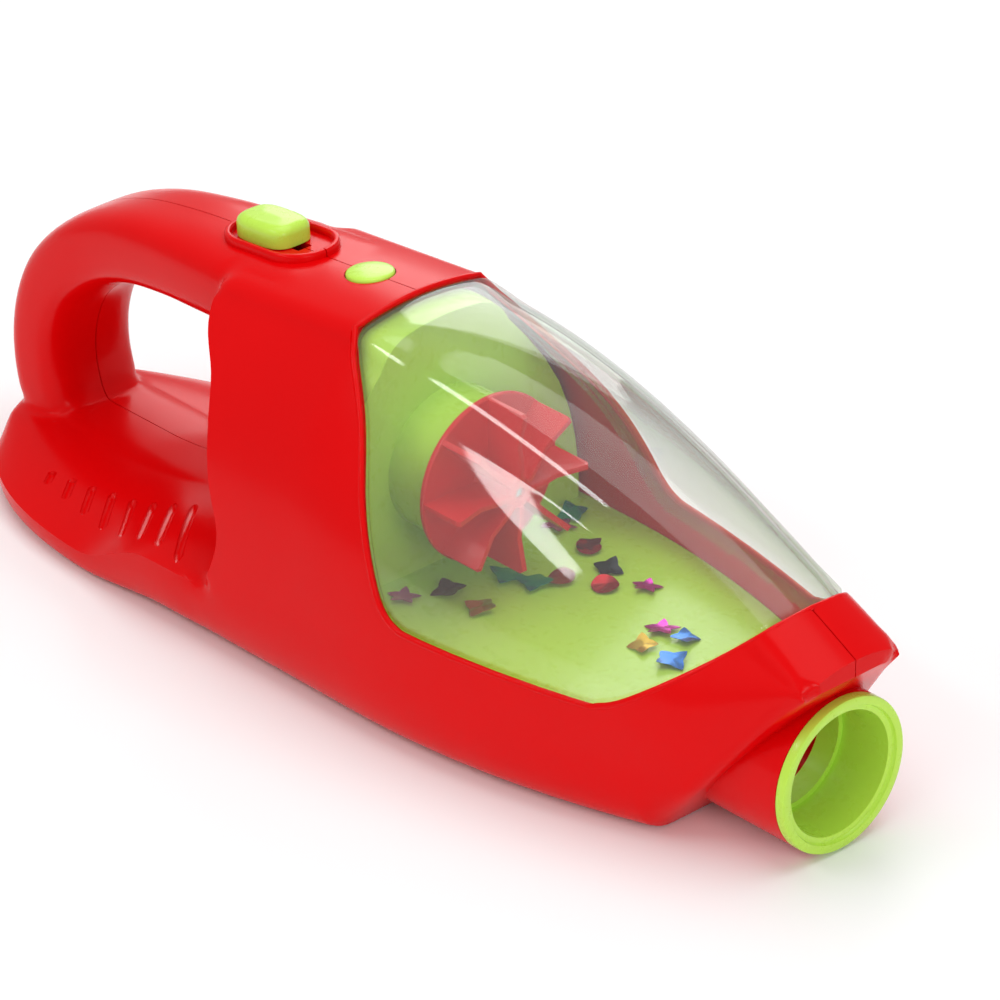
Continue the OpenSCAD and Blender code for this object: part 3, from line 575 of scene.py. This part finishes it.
def fillet(obj, reach, rounds):
    """Rounds the concave corners of the union by local smoothing."""
    bm = bmesh.new()
    bm.from_mesh(obj.data)
    bmesh.ops.remove_doubles(bm, verts=bm.verts, dist=WELD)
    sharp = [e for e in bm.edges if len(e.link_faces) == 2 and e.calc_face_angle_signed(0) < CONCAVE]
    tree = kdtree.KDTree(2 * len(sharp))
    for i, e in enumerate(sharp):
        tree.insert(e.verts[0].co, 2 * i)
        tree.insert(e.verts[1].co, 2 * i + 1)
    tree.balance()
    near = [e for e in bm.edges
            if tree.find(e.verts[0].co)[2] < reach * MM and e.calc_length() > LONGEST_EDGE * MM]
    bmesh.ops.subdivide_edges(bm, edges=near, cuts=1)
    bmesh.ops.triangulate(bm, faces=[f for f in bm.faces if len(f.verts) > 4])
    bm.verts.ensure_lookup_table()
    bm.verts.index_update()
    co = np.array([v.co for v in bm.verts])
    pairs = np.array([[v.index for v in e.verts] for e in bm.edges])
    gap = np.array([tree.find(v.co)[2] for v in bm.verts]) / (reach * MM)
    w = np.clip(1 - gap, 0, 1)[:, None]
    w = w * w * (3 - 2 * w)
    count = np.zeros(len(co))
    np.add.at(count, pairs.ravel(), 1)
    for _ in range(rounds):
        total = np.zeros_like(co)
        np.add.at(total, pairs[:, 0], co[pairs[:, 1]])
        np.add.at(total, pairs[:, 1], co[pairs[:, 0]])
        co += EASE * w * (total / count[:, None] - co)
    for v, c in zip(bm.verts, co):
        v.co = c
    bmesh.ops.triangulate(bm, faces=bm.faces)
    bm.to_mesh(obj.data)
    bm.free()


outer = body_form(0.0, 150, FINE)
fillet(outer, 5.0, 24)
inner = body_form(WALL, 60, COARSE)
SCREWS = [(-104, 84), (-170, 50), (-64, 10), (-47, 80), (58, 12), (130, 53)]
BOSS_R = 4.6
BOSS_Y = (0.4, 90)
boss = None
for x, z in SCREWS:
    post = rod_y("boss", x, z, BOSS_R, *BOSS_Y)
    boss = post if boss is None else cut(boss, post, "UNION")
cut(boss, outer, "INTERSECT", keep=True)
shell = cut(outer, inner)
cut(shell, boss, "UNION")

# Raised rim of the slide switch and its recess, as (inset, height), and the nozzle's stub
RIM_L = 37
RIM_W = 22.5
RIM = [(0, -4), (0, 1.3), (0.15, 1.75), (0.5, 2.1), (1, 2.2), (1.5, 2.1), (1.85, 1.75), (2, 1.3), (2, 0.2)]
rim = loft("rim", [[on_roof(SWITCH_X, (x, y, z)) for x, y in racetrack(RIM_L - 2 * i, RIM_W - 2 * i)]
                   for i, z in RIM])
cut(shell, rim, "UNION")
cut(shell, rod_x("stub", STUB_R, CHIN_X, STUB_X, NOZZLE_H), "UNION")

# Window, switch slot, button hole, nozzle bore, battery door and screw wells
SILL = [(ARCH_X, 99), (-23.5, 94), (-17.5, 88), (-11, 81), (-4.5, 72.5), (1, 64), (6, 56), (10.5, 48.5),
        (14.5, 42.5), (20, 38.6), (30, SILL_H), (SILL_END - 12, SILL_H), (SILL_END - 4, SILL_H + 1),
        (SILL_END + 4, SILL_H + 5), (108, 53), (BROW_X - 3, 64), (BROW_X, 69)]
SILL_STEPS = 8
WINDOW_TOP = 130
SLOT_HALF_L = 9.5
SLOT_HALF_W = 2.5
SLOT_Z = (-5, 3)
HOLE_R = 7.1
HOLE_Z = (-4, 4)
BORE_R = 20.4
BORE_L = 18
BORE_END = 240
DOOR_X = -22
DOOR_HALF = 29.3
DOOR_Z = (-1, 3.6)
WELL_R = 3.2
WELL_Y = (8, 120)
sill_line = curve(SILL, SILL_STEPS)
cut(shell, prism("window", [(ARCH_X, WINDOW_TOP)] + [tuple(p) for p in sill_line] + [(BROW_X, WINDOW_TOP)]))
slot_box = [[on_roof(SWITCH_X, (a * SLOT_HALF_L, b * SLOT_HALF_W, z)) for a, b in CORNERS] for z in SLOT_Z]
cut(shell, loft("slot", slot_box))
cut(shell, loft("hole", [disc_on_roof(BUTTON_X, HOLE_R, z, 64) for z in HOLE_Z]))
cut(shell, rod_x("bore", BORE_R, CHIN_X - BORE_L, BORE_END, NOZZLE_H))
door = [[(DOOR_X + a * DOOR_HALF, b * DOOR_HALF, z) for a, b in CORNERS] for z in DOOR_Z]
cut(shell, loft("door", door))
for x, z in SCREWS:
    cut(shell, rod_y("well", x, z, WELL_R, *WELL_Y))

# Vents: the first one's ends, and the step from one vent to the next
VENTS = 8
VENT_INNER = np.array([-88.8, 28])
VENT_INNER_STEP = np.array([-7.8, 0.9])
VENT_OUTER = np.array([-69.5, 51.4])
VENT_OUTER_STEP = np.array([-10.2, -1.8])
VENT_POINTS = 12
VENT_R = 1.5
VENT_RISE = 0.45
VENT_TIP = 0.15
VENT_ROUND = 1.4


def vent(i, side):
    """A shallow slanted groove along the tail's side."""
    a = VENT_INNER + i * VENT_INNER_STEP
    b = VENT_OUTER + i * VENT_OUTER_STEP
    line = []
    radii = []
    for k, t in enumerate(np.linspace(0, 1, VENT_POINTS + 1)):
        x, y = a + (b - a) * t
        line.append(np.array([x, side * y, tail_top(x, y) + VENT_RISE]))
        inward = min(1, (min(k, VENT_POINTS - k) + VENT_TIP) / VENT_ROUND)
        radii.append(VENT_R * math.sqrt(1 - (1 - inward) ** 2))
    return tube("vent", line, radii, (0, 0, 1.0), 16)


for side in (-1, 1):
    for i in range(VENTS):
        cut(shell, vent(i, side))

# The two halves, with a fine seam between them
SEAM = 0.16
HALF_W = 100
AROUND = ((-300, -50), (300, -50), (300, 200), (-300, 200))
for name, side in (("left_shell", 1), ("right_shell", -1)):
    half = link(bpy.data.objects.new(name + "_skin", shell.data.copy()))
    keep = [[(x, y, z) for x, z in AROUND] for y in sorted((side * SEAM, side * HALF_W))]
    cut(half, loft("keep", keep), "INTERSECT")
    piece(half, "housing", RED, "red_plastic", name, angle=28)
bpy.data.objects.remove(shell)


def wall_edge(x, z, g):
    """Half width of the pod's side at a height."""
    pts = pod_half(x, g)
    for p, q in zip(pts, pts[1:]):
        if q[1] <= z <= p[1]:
            return p[0] + (q[0] - p[0]) * (p[1] - z) / max(p[1] - q[1], 1e-6)
    return pts[-1][0]


# Rounded bead along the window's edge
BEAD_R = 0.95
BEAD_SINK = 0.7
BEAD_TOP_GAP = 0.2
BEAD_ARCH_POINTS = 12
BEAD_SILL_FIRST = 4


def bead(name, side):
    path = []
    for i in range(BEAD_ARCH_POINTS):
        t = i / BEAD_ARCH_POINTS
        path.append((ARCH_X, side * roof_w(ARCH_X) * t, roof_z(ARCH_X) - BEAD_SINK - CROWN * t ** 2))
    for x, z in sill_line[::2][BEAD_SILL_FIRST:]:
        y = wall_edge(x, min(z, roof_z(x) - BEAD_TOP_GAP), BEAD_SINK) * side
        path.append((x, y, min(z, roof_z(x) - BEAD_SINK)))
    obj = tube(name, path, [BEAD_R] * len(path), (0.3, side * 0.9, 0.4), 12)
    return piece(obj, "housing", RED, "red_plastic", angle=60)


bead("window_bead_left", 1)
bead("window_bead_right", -1)

# Clear dome: flush in the window, stepped in where it goes under the shells
DOME_WALL = 1.5
DOME_WALL_SHARE = 0.75
DOME_GAP = 0.3
DOME_UNDER = 1.9
DOME_LAP_X = 3
DOME_LAP_Z = 1.5
DOME_STEP_L = 2.5
DOME_EDGE_GAP = 0.4
DOME_BLEND = 3.0
DOME_SIDE_W = 14
DOME_STOP = 40
DOME_LEAST_STOP = 30
DOME_POINTS = 60
DOME_ROWS = 120
sill_x = [p[0] for p in sill_line]
sill_z = [p[1] for p in sill_line]


def sill_at(x):
    return float(np.interp(x, sill_x, sill_z))


def dome_row(x, depth):
    """The dome's line across the body at x, on its outer face or moved inwards."""
    edge = sill_at(x)
    low = min(sill_at(x - DOME_LAP_X), sill_at(x + DOME_LAP_X)) - DOME_LAP_Z
    ends = smooth((x - ARCH_X - DOME_GAP) / DOME_STEP_L) * smooth((BROW_X - DOME_GAP - x) / DOME_STEP_L)
    flush = pod_half(x, DOME_GAP, DOME_FINE)
    under = pod_half(x, DOME_UNDER, DOME_FINE)
    stop = max(next((i for i, p in enumerate(flush) if p[1] < low), DOME_STOP), DOME_LEAST_STOP)
    row = []
    for i in np.linspace(0, stop, DOME_POINTS):
        k = int(i)
        f = i - k
        p = flush[k] * (1 - f) + flush[k + 1] * f
        q = under[k] * (1 - f) + under[k + 1] * f
        r = q + (p - q) * (ends * smooth((p[1] - edge - DOME_EDGE_GAP) / DOME_BLEND))
        row.append(r - depth * np.array([min(1, r[0] / DOME_SIDE_W), 1.0]) * DOME_WALL_SHARE)
    return [(x, -p[0], p[1]) for p in row[:0:-1]] + [(x, p[0], p[1]) for p in row]


loops = []
for i in range(DOME_ROWS + 1):
    x = mix(ARCH_X - DOME_LAP_X, BROW_X + DOME_LAP_X, i / DOME_ROWS)
    loops.append(dome_row(x, 0) + dome_row(x, DOME_WALL)[::-1])
piece(loft("dome_skin", loops), "housing", CLEAR, "clear_plastic", "clear_dome", angle=50)

# Nozzle ring with a rounded lip and an inner step, as (x, radius)
NOZZLE = [(-22, 16.5), (-22, 20.2), (0, 20.2), (0, 22.1), (0.3, 22.4), (2.4, 22.4), (2.85, 22.2),
          (3, 21.8), (3, 20.2), (2.85, 19.9), (2.2, 19.7), (1.9, 19.5), (1.9, 18.4), (1.6, 18.0),
          (-15, 18.0), (-15, 16.5)]
nozzle = lathe_x("nozzle_ring_skin", NOZZLE, STUB_X, NOZZLE_H)
piece(nozzle, "housing", LIME, "lime_plastic", "nozzle_ring", angle=40)

# Slide knob: a rounded block on the roof, with a softly crowned top
KNOB_L = 21
KNOB_W = 14.5
KNOB_LOW = 0.5
KNOB_TOP = 6.7
KNOB_R = 2.6
KNOB_SHIFT = -3.5
KNOB_CROWN = 0.25
KNOB_POWER = 0.6
KNOB_SIDES = 72
flat_w = KNOB_W / 2 - KNOB_R
knob_profile = [(0, KNOB_LOW), (0, KNOB_TOP - KNOB_R)]
for q in np.linspace(0.15, math.pi / 2, 9):
    knob_profile.append((KNOB_R * (1 - math.cos(q)), KNOB_TOP - KNOB_R + KNOB_R * math.sin(q)))
for k in np.linspace(0.6, flat_w - 0.4, 5):
    knob_profile.append((KNOB_R + k, KNOB_TOP + KNOB_CROWN * k / flat_w))
knob = []
for inset, z in knob_profile:
    ring = []
    for c, s in circle(KNOB_SIDES):
        along = KNOB_SHIFT + (KNOB_L / 2 - inset) * squarish(c, KNOB_POWER)
        across = (KNOB_W / 2 - inset) * squarish(s, KNOB_POWER)
        ring.append(on_roof(SWITCH_X, (along, across, z)))
    knob.append(ring)
piece(loft("knob_skin", knob), "slider", LIME, "lime_plastic", "switch_knob", angle=50)

# Round button from its foot to its cap, as (radius, height); the cap's rows are (inset, height)
BUTTON_R = 6.8
BUTTON_FOOT = [(0.3, -9.5), (2, -9.5), (2, -3.9), (8.6, -3.9), (8.6, -2.7), (BUTTON_R, -2.7)]
BUTTON_CAP = [(0, 0.05), (0.15, 0.4), (0.5, 0.65), (1.2, 0.8), (3, 1.0), (5, 1.1), (6.6, 1.12)]
button_profile = BUTTON_FOOT + [(BUTTON_R - i, z) for i, z in BUTTON_CAP]
button = loft("button_skin", [disc_on_roof(BUTTON_X, r, z, 72) for r, z in button_profile])
piece(button, "button", LIME, "lime_plastic", "round_button", angle=40)

# Fan: a disc with a hub as (x, radius), and straight blades with slanted corners as (radius, x)
DISC = [(0, 1.6), (0, 24.1), (0.3, 24.5), (1.3, 24.5), (1.6, 24.1), (1.6, 6.2), (2.4, 5.2), (12.6, 5.0),
        (13.4, 4.4), (13.6, 1.6)]
FIN = [(4, 1.2), (24.2, 1.2), (24.2, 14.4), (23.4, 15.4), (14, 13.2), (7, 14.2), (4, 14.2)]
FINS = 8
FIN_HALF = 0.8
fan = lathe_x("fan_skin", DISC, 0, FAN_H)
for c, s in circle(FINS):
    fin = loft("fin", [[(x, r * c - t * s, FAN_H + r * s + t * c) for r, x in FIN]
                       for t in (-FIN_HALF, FIN_HALF)])
    cut(fan, fin, "UNION")
soften(fan, 0.3)
baked(fan)
piece(fan, "fan", FAN_RED, "fan_plastic", "fan_impeller", angle=35)

# Hood that closes the bulkhead's top edge to the arch, under the dome
HOOD_X = (-16.1, -18.5, -22, -26, -30.5)
HOOD_OVER = 3.7
HOOD_UNDER = 5.0
HOOD_POINTS = 27
hood = []
for x in HOOD_X:
    over = pod_half(x, HOOD_OVER)[:HOOD_POINTS]
    under = pod_half(x, HOOD_UNDER)[:HOOD_POINTS]
    hood.append([(x, -p[0], p[1]) for p in over[:0:-1]] + [(x, p[0], p[1]) for p in over]
                + [(x, p[0], p[1]) for p in under[::-1]] + [(x, -p[0], p[1]) for p in under[1:]])
piece(loft("bulkhead_hood", hood), "housing", LIME, "lime_plastic", angle=40)

# Spring under the button
SPRING_R = 4.2
SPRING_WIRE_R = 0.45
SPRING_TURNS = 5
SPRING_STEPS = 120
SPRING_Z = (-11.5, -4.4)
wire = []
for k in range(SPRING_STEPS + 1):
    q = TAU * SPRING_TURNS * k / SPRING_STEPS
    z = mix(*SPRING_Z, k / SPRING_STEPS)
    ring = []
    for c, s in circle(12):
        r = SPRING_R + SPRING_WIRE_R * c
        ring.append(on_roof(BUTTON_X, (r * math.cos(q), r * math.sin(q), z + SPRING_WIRE_R * s)))
    wire.append(ring)
spring = piece(loft("spring_skin", wire), "housing", STEEL, "steel", "button_spring", angle=60)
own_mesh(spring)

# CAD nodes that show as they are, with the width of their softened edges
for name, material, width in (
        ("bulkhead", LIME, 0.5), ("bin_floor", LIME, 0.3), ("motor_shaft", STEEL, 0.2),
        ("motor_can", STEEL, 0.5), ("motor_end_cap", DARK, 0.4), ("motor_retainer", DARK, 0.3),
        ("retainer_screws", STEEL, 0.2), ("switch_slider", DARK, 0.2), ("slide_switch", DARK, 0.3),
        ("button_switch", DARK, 0.3), ("battery_box", DARK, 0.3), ("battery_cells", WRAP, 0.4),
        ("battery_contacts", STEEL, 0.1), ("battery_door", RED, 0.3), ("door_screw", STEEL, 0.1),
        ("body_screws", STEEL, 0.3), ("red_wire", WIRE_RED, 0), ("black_wire", WIRE_BLACK, 0)):
    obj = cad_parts[name]
    paint(obj, material)
    if width:
        soften(obj, width)

# Foil confetti: instances of a curled foil shape on given points, by Geometry Nodes
FOIL_RINGS = (0.35, 0.7, 1.0)
FOIL_STEPS = 8
FOIL_POWER = 1.4
FOIL_CROSS_CURL = 0.6
FOIL_RIPPLE = 0.1
FOIL_THICK = 0.15
FOIL_LIFT = 0.7
FOIL_TILT = 0.16
FOIL_TURN = 6.28
FOIL_SIZES = (0.85, 1.15)
FIRST_SEED = 11


def foil_shape(name, points, pinch, size, curl):
    """A thin star, petal or disc with the given number of points."""
    verts = [(0, 0, 0)]
    faces = []
    n = FOIL_STEPS * points
    for ring in FOIL_RINGS:
        for i in range(n):
            q = TAU * i / n
            k = abs((i / n * points) % 1 - 0.5) * 2
            r = size * ring * mix(pinch, 1, k ** FOIL_POWER)
            x = r * math.cos(q)
            y = r * math.sin(q)
            ripple = FOIL_RIPPLE * math.sin(3 * q) * ring
            verts.append((x, y, curl * (x * x - FOIL_CROSS_CURL * y * y) / size + ripple))
    for i in range(n):
        faces.append((0, 1 + i, 1 + (i + 1) % n))
        for j in range(len(FOIL_RINGS) - 1):
            a = 1 + j * n + i
            b = 1 + j * n + (i + 1) % n
            faces.append((a, a + n, b + n, b))
    low = min(v[2] for v in verts)
    obj = new_object(name, [(x, y, z - low) for x, y, z in verts], faces)
    thick = obj.modifiers.new("thick", "SOLIDIFY")
    thick.thickness = FOIL_THICK * MM
    thick.offset = 1.0
    baked(obj)
    shade(obj, 60)
    return obj


def scatter_tree():
    """Puts a foil shape on each point, turned and sized by the seed."""
    tree = bpy.data.node_groups.new("foil scatter", "GeometryNodeTree")
    for name, way, kind in (("Geometry", "INPUT", "Geometry"), ("Foil", "INPUT", "Object"),
                            ("Material", "INPUT", "Material"), ("Seed", "INPUT", "Int"),
                            ("Geometry", "OUTPUT", "Geometry")):
        tree.interface.new_socket(name, in_out=way, socket_type="NodeSocket" + kind)
    add = tree.nodes.new
    gin = add("NodeGroupInput")
    gout = add("NodeGroupOutput")
    info = add("GeometryNodeObjectInfo")
    inst = add("GeometryNodeInstanceOnPoints")
    turn = add("FunctionNodeRandomValue")
    turn.data_type = "FLOAT_VECTOR"
    turn.inputs["Min"].default_value = (-FOIL_TILT, -FOIL_TILT, 0)
    turn.inputs["Max"].default_value = (FOIL_TILT, FOIL_TILT, FOIL_TURN)
    size = add("FunctionNodeRandomValue")
    size.inputs[2].default_value = FOIL_SIZES[0]
    size.inputs[3].default_value = FOIL_SIZES[1]
    real = add("GeometryNodeRealizeInstances")
    coat = add("GeometryNodeSetMaterial")
    join = tree.links.new
    join(gin.outputs["Geometry"], inst.inputs["Points"])
    join(gin.outputs["Foil"], info.inputs["Object"])
    join(info.outputs["Geometry"], inst.inputs["Instance"])
    join(gin.outputs["Seed"], turn.inputs["Seed"])
    join(gin.outputs["Seed"], size.inputs["Seed"])
    join(turn.outputs["Value"], inst.inputs["Rotation"])
    join(size.outputs[1], inst.inputs["Scale"])
    join(inst.outputs["Instances"], real.inputs["Geometry"])
    join(real.outputs["Geometry"], coat.inputs["Geometry"])
    join(gin.outputs["Material"], coat.inputs["Material"])
    join(coat.outputs["Geometry"], gout.inputs["Geometry"])
    return tree


scatter = scatter_tree()
ids = {s.name: s.identifier for s in scatter.interface.items_tree if s.in_out == "INPUT"}
SHAPES = {"star": foil_shape("star", 5, 0.5, 4.8, 0.12), "petal": foil_shape("petal", 4, 0.6, 4.8, 0.16),
          "disc": foil_shape("disc", 6, 0.97, 3.8, 0.14)}
FOIL = [("magenta", (0.6, 0.015, 0.4), "star", [(-7, -24), (34, 28), (53, 15), (-7, 34)]),
        ("dark red", (0.2, 0.012, 0.03), "petal", [(-1, -13), (7, 32)]),
        ("gold", (0.6, 0.38, 0.05), "petal", [(12, -13), (56, 5)]),
        ("teal", (0.02, 0.3, 0.33), "petal", [(4, 4), (12, 7), (-9, 41)]),
        ("blue", (0.02, 0.15, 0.5), "petal", [(61, 16), (67, 5)]),
        ("black", (0.012, 0.01, 0.016), "petal", [(20, 27)]),
        ("red", (0.5, 0.01, 0.02), "disc", [(8, 31), (26, 20), (15, 14)])]
for k, (name, colour, shape, places) in enumerate(FOIL):
    pts = new_object("foil_points", [(x, y, FLOOR_H + FOIL_LIFT) for x, y in places], [])
    mod = pts.modifiers.new("scatter", "NODES")
    mod.node_group = scatter
    mod[ids["Foil"]] = SHAPES[shape]
    mod[ids["Seed"]] = FIRST_SEED + k
    mod[ids["Material"]] = metal("foil " + name, colour, 0.22, metallic=0.75, bump=0.25, scale=320.0)
    baked(pts)
    pts.name = "foil_" + name.replace(" ", "_")
    smooth_faces(pts.data)
    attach(pts, "housing")
for obj in SHAPES.values():
    bpy.data.objects.remove(obj)
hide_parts("confetti")

# Camera as in the photograph, in metres
CAM_TARGET = Vector((0, 0, 0.054))
CAM_BACK = Vector((0.6397, -0.5965, 0.4848)).normalized()
CAM_DISTANCE = 1.8
cam = link(bpy.data.objects.new("camera", bpy.data.cameras.new("camera")))
cam.location = CAM_TARGET + CAM_DISTANCE * CAM_BACK
cam.rotation_euler = CAM_BACK.to_track_quat("Z", "Y").to_euler()
cam.data.lens = 240
cam.data.sensor_width = 36
cam.data.shift_x = 0.014
cam.data.shift_y = -0.015
bpy.context.scene.camera = cam

LAMP_AIM = Vector((0, 0, 0.05))


def lamp(name, place, size, power, glossy=True):
    """A soft box aimed at the part, in metres and watts."""
    data = bpy.data.lights.new(name, "AREA")
    data.shape = "RECTANGLE"
    data.size = size[0]
    data.size_y = size[1]
    data.energy = power
    obj = link(bpy.data.objects.new(name, data))
    obj.location = place
    obj.visible_glossy = glossy
    obj.rotation_euler = (Vector(place) - LAMP_AIM).to_track_quat("Z", "Y").to_euler()


lamp("top box", (0.0, 0.1, 1.0), (1.2, 0.9), 6)
lamp("front box", (0.9, -0.35, 0.45), (0.4, 0.4), 2.0)
lamp("side strip", (-0.34, -0.72, 0.8), (0.5, 0.1), 1.6)
lamp("side box", (0.2, -1.0, 0.6), (0.7, 0.5), 1.4, glossy=False)
lamp("rear fill", (-0.6, 0.7, 0.5), (0.5, 0.5), 2.5)

# Plain white floor and soft light all around
STAGE_HALF = 4000
STAGE_Z = -0.3
stage_corners = [(a * STAGE_HALF, b * STAGE_HALF, STAGE_Z) for a, b in CORNERS]
floor = new_object("floor", stage_corners, [(0, 1, 2, 3)])
paper = new_material("white floor")
sheet = paper.node_tree.nodes["Principled BSDF"]
sheet.inputs["Base Color"].default_value = (0.95, 0.95, 0.95, 1)
sheet.inputs["Roughness"].default_value = 0.9
sheet.inputs["Specular IOR Level"].default_value = 0.0
floor.data.materials.append(paper)
world = bpy.data.worlds.new("studio")
bpy.context.scene.world = world
world.use_nodes = True
wt = world.node_tree
sky = wt.nodes.new("ShaderNodeTexCoord")
height = wt.nodes.new("ShaderNodeSeparateXYZ")
wt.links.new(sky.outputs["Generated"], height.inputs["Vector"])
greys = ramp(wt, height.outputs["Z"], (0.0, 0.8), ((0.5, 0.5, 0.5, 1), (0.4, 0.405, 0.41, 1)))
wt.links.new(greys, wt.nodes["Background"].inputs["Color"])
bpy.context.scene.view_settings.view_transform = "Standard"
